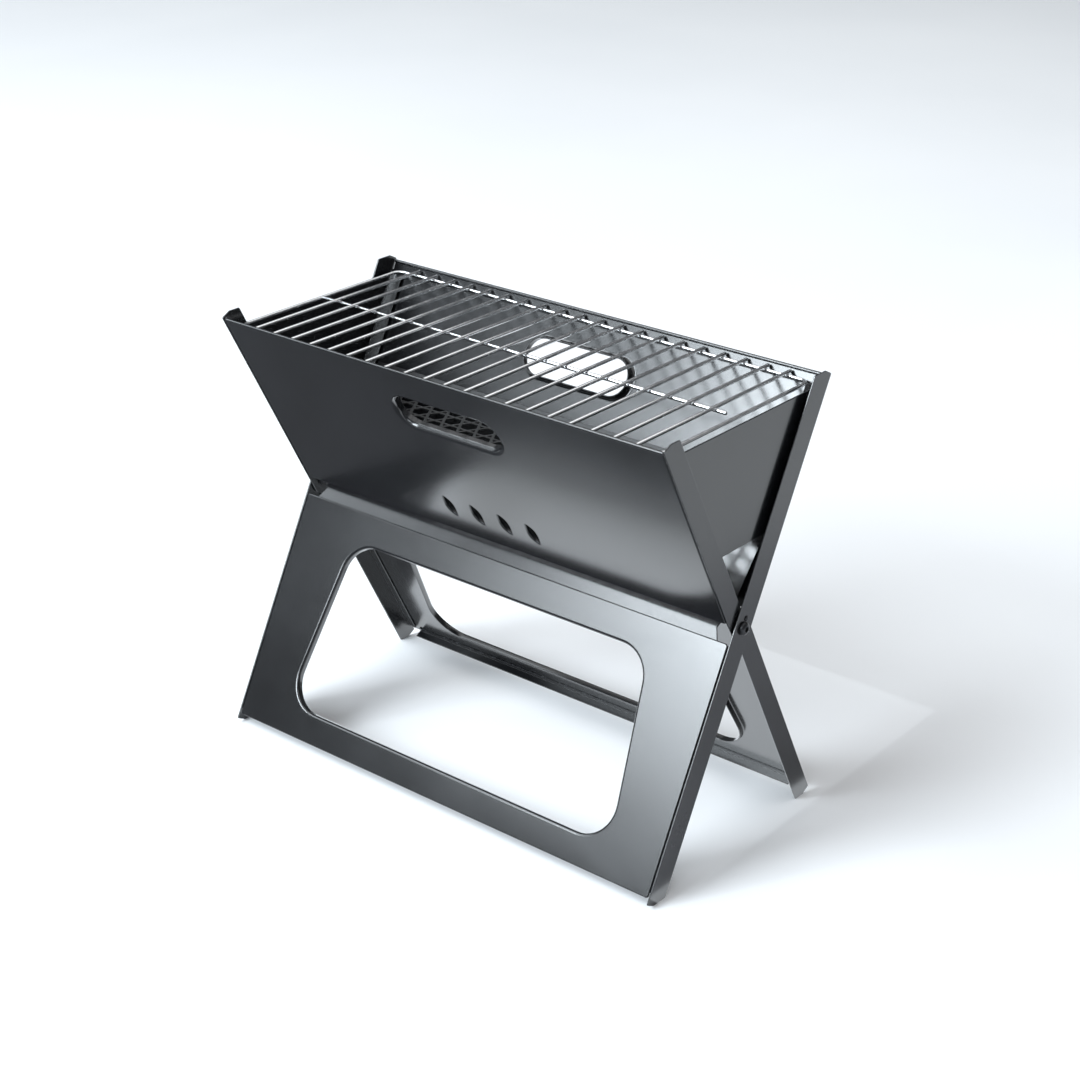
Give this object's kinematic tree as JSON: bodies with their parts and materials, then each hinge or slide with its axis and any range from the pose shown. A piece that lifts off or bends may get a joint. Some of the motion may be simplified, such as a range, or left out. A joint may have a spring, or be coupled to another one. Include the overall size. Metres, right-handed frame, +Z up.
{
  "type": "folding camp grill",
  "caption": "X-folding sheet-metal charcoal grill: crossed leg frames form the fire trough, with drop-in end panels, charcoal grate and wire cooking grid.",
  "frame": {"origin": "on the floor, below the pivot axis, halfway between the left and right rails", "axes": "+X to the right along the pivot axis, -Y towards the user, +Z up"},
  "size_m": [0.457, 0.2254, 0.376],
  "materials": {
    "black_enamel": "gloss",
    "dark_steel": "satin",
    "chrome_wire": "polished"
  },
  "bodies": {
    "outer_frame": {"outer_rail_left": "black_enamel", "outer_rail_right": "black_enamel", "front_leg_panel": "black_enamel", "back_wall": "black_enamel", "trough_floor": "black_enamel", "pivot_bolt_left": "dark_steel", "pivot_bolt_right": "dark_steel", "pivot_spacer_left": "dark_steel", "pivot_spacer_right": "dark_steel", "pivot_washer_left": "dark_steel", "pivot_washer_right": "dark_steel", "pivot_nut_left": "dark_steel", "pivot_nut_right": "dark_steel", "fold_stop_left": "dark_steel", "fold_stop_right": "dark_steel"},
    "inner_frame": {"inner_rail_left": "black_enamel", "inner_rail_right": "black_enamel", "front_wall": "black_enamel", "rear_leg_panel": "black_enamel"},
    "loose_grate": {"charcoal_grate": "black_enamel"},
    "loose_end_left": {"end_panel_left": "black_enamel"},
    "loose_end_right": {"end_panel_right": "black_enamel"},
    "loose_grid": {"cooking_grid": "chrome_wire"}
  },
  "joints": [
    {"name": "x_fold", "type": "hinge", "parent": "outer_frame", "child": "inner_frame", "pos_m": [0, 0, 0.196], "axis": [-1, 0, 0], "range_deg": [0, 55.2]},
    {"name": "grid_lift", "type": "slide", "parent": "outer_frame", "child": "loose_grid", "axis": [0, 0.2588, 0.9659], "range_m": [0, 0.338]},
    {"name": "grate_lift", "type": "slide", "parent": "outer_frame", "child": "loose_grate", "axis": [0, 0.2588, 0.9659], "range_m": [0, 0.338]},
    {"name": "end_left_lift", "type": "slide", "parent": "outer_frame", "child": "loose_end_left", "axis": [0, 0.2588, 0.9659], "range_m": [0, 0.338]},
    {"name": "end_right_lift", "type": "slide", "parent": "outer_frame", "child": "loose_end_right", "axis": [0, 0.2588, 0.9659], "range_m": [0, 0.338]}
  ],
  "couplings": [
    {"joint": "grid_lift", "follows": "x_fold", "m_per_rad": 0.35},
    {"joint": "grate_lift", "follows": "x_fold", "m_per_rad": 0.35},
    {"joint": "end_left_lift", "follows": "x_fold", "m_per_rad": 0.35},
    {"joint": "end_right_lift", "follows": "x_fold", "m_per_rad": 0.35}
  ]
}
